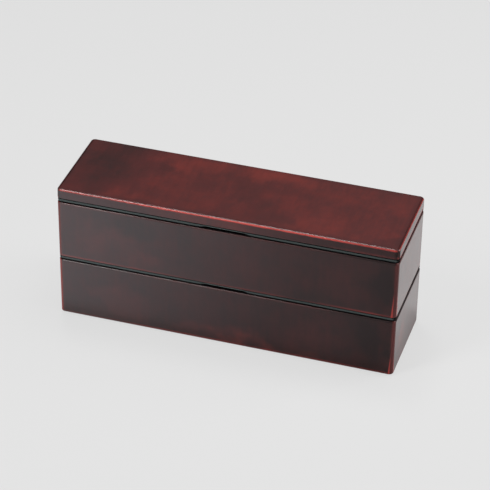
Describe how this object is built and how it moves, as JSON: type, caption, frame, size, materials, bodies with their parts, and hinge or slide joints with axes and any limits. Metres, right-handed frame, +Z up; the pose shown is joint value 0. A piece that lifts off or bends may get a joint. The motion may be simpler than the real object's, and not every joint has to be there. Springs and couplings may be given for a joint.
{
  "type": "bento box",
  "caption": "Slim rectangular stacking lunch box: lacquered tiers with sealed black inner lids under a flat outer lid, and a sliding divider inside.",
  "frame": {"origin": "middle of the flat foot of the lower tier, on the surface that the box stands on", "axes": "+X along the long side, +Y from the front to the back, +Z up"},
  "size_m": [0.225, 0.066, 0.096],
  "materials": {
    "lacquer": "mottled dark brown lacquer over red, rubbed through to red along the edges, satin gloss",
    "black_resin": "black moulded resin, fine satin",
    "silicone": "grey silicone, matt"
  },
  "bodies": {
    "lower_tier": {"lower_tier": "lacquer"},
    "lower_inner_lid": {"lower_inner_lid": "black_resin", "lower_gasket": "silicone"},
    "upper_tier": {"upper_tier": "lacquer"},
    "divider": {"divider": "black_resin"},
    "upper_inner_lid": {"upper_inner_lid": "black_resin", "upper_gasket": "silicone"},
    "lid": {"lid": "lacquer"}
  },
  "joints": [
    {"name": "lower_inner_lid_lift", "type": "slide", "parent": "lower_tier", "child": "lower_inner_lid", "axis": [0, 0, 1], "range_m": [0, 0.06]},
    {"name": "upper_tier_lift", "type": "slide", "parent": "lower_inner_lid", "child": "upper_tier", "axis": [0, 0, 1], "range_m": [0, 0.06]},
    {"name": "divider_slide", "type": "slide", "parent": "upper_tier", "child": "divider", "axis": [1, 0, 0], "range_m": [-0.13, 0.06]},
    {"name": "upper_inner_lid_lift", "type": "slide", "parent": "upper_tier", "child": "upper_inner_lid", "axis": [0, 0, 1], "range_m": [0, 0.06]},
    {"name": "lid_lift", "type": "slide", "parent": "upper_inner_lid", "child": "lid", "axis": [0, 0, 1], "range_m": [0, 0.06]}
  ]
}
